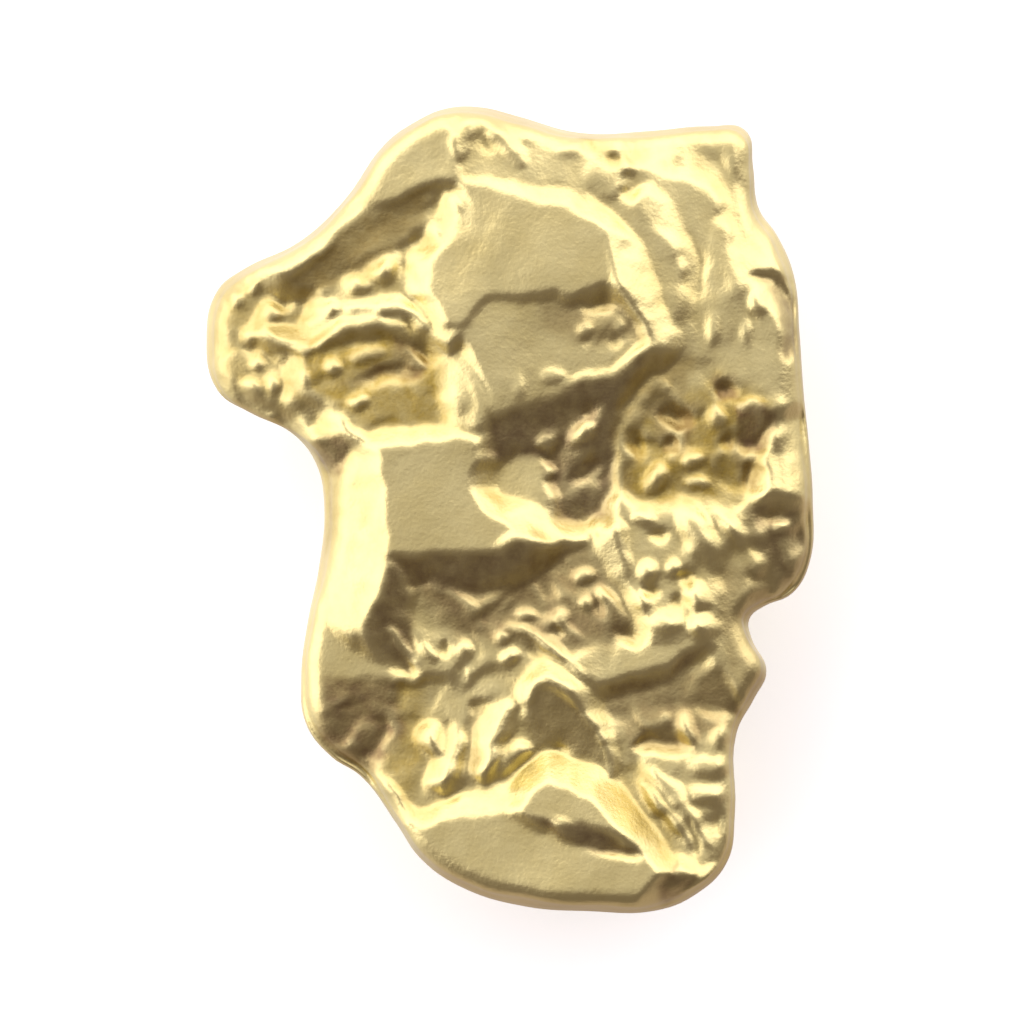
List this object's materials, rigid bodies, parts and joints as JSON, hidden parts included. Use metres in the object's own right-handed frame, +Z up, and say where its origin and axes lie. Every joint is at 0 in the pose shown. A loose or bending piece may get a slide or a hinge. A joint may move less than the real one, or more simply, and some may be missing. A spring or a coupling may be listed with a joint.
{
  "type": "gold nugget",
  "caption": "Water-worn lump of native gold with smooth flats, dark ledges, beaded horn and crumpled hollows, lying on its broad underside.",
  "frame": {"origin": "middle of the bounding box at the surface that the nugget lies on", "axes": "+Y along the nugget's length towards its rounded shoulder, +X towards the straight long side, away from the horn, +Z up out of the worn patch that it rests on"},
  "size_m": [0.0122, 0.0162, 0.005],
  "materials": {
    "gold": "worn native gold, soft sheen on the high flats and duller in the pits"
  },
  "bodies": {
    "root": {"nugget": "gold"}
  },
  "joints": []
}
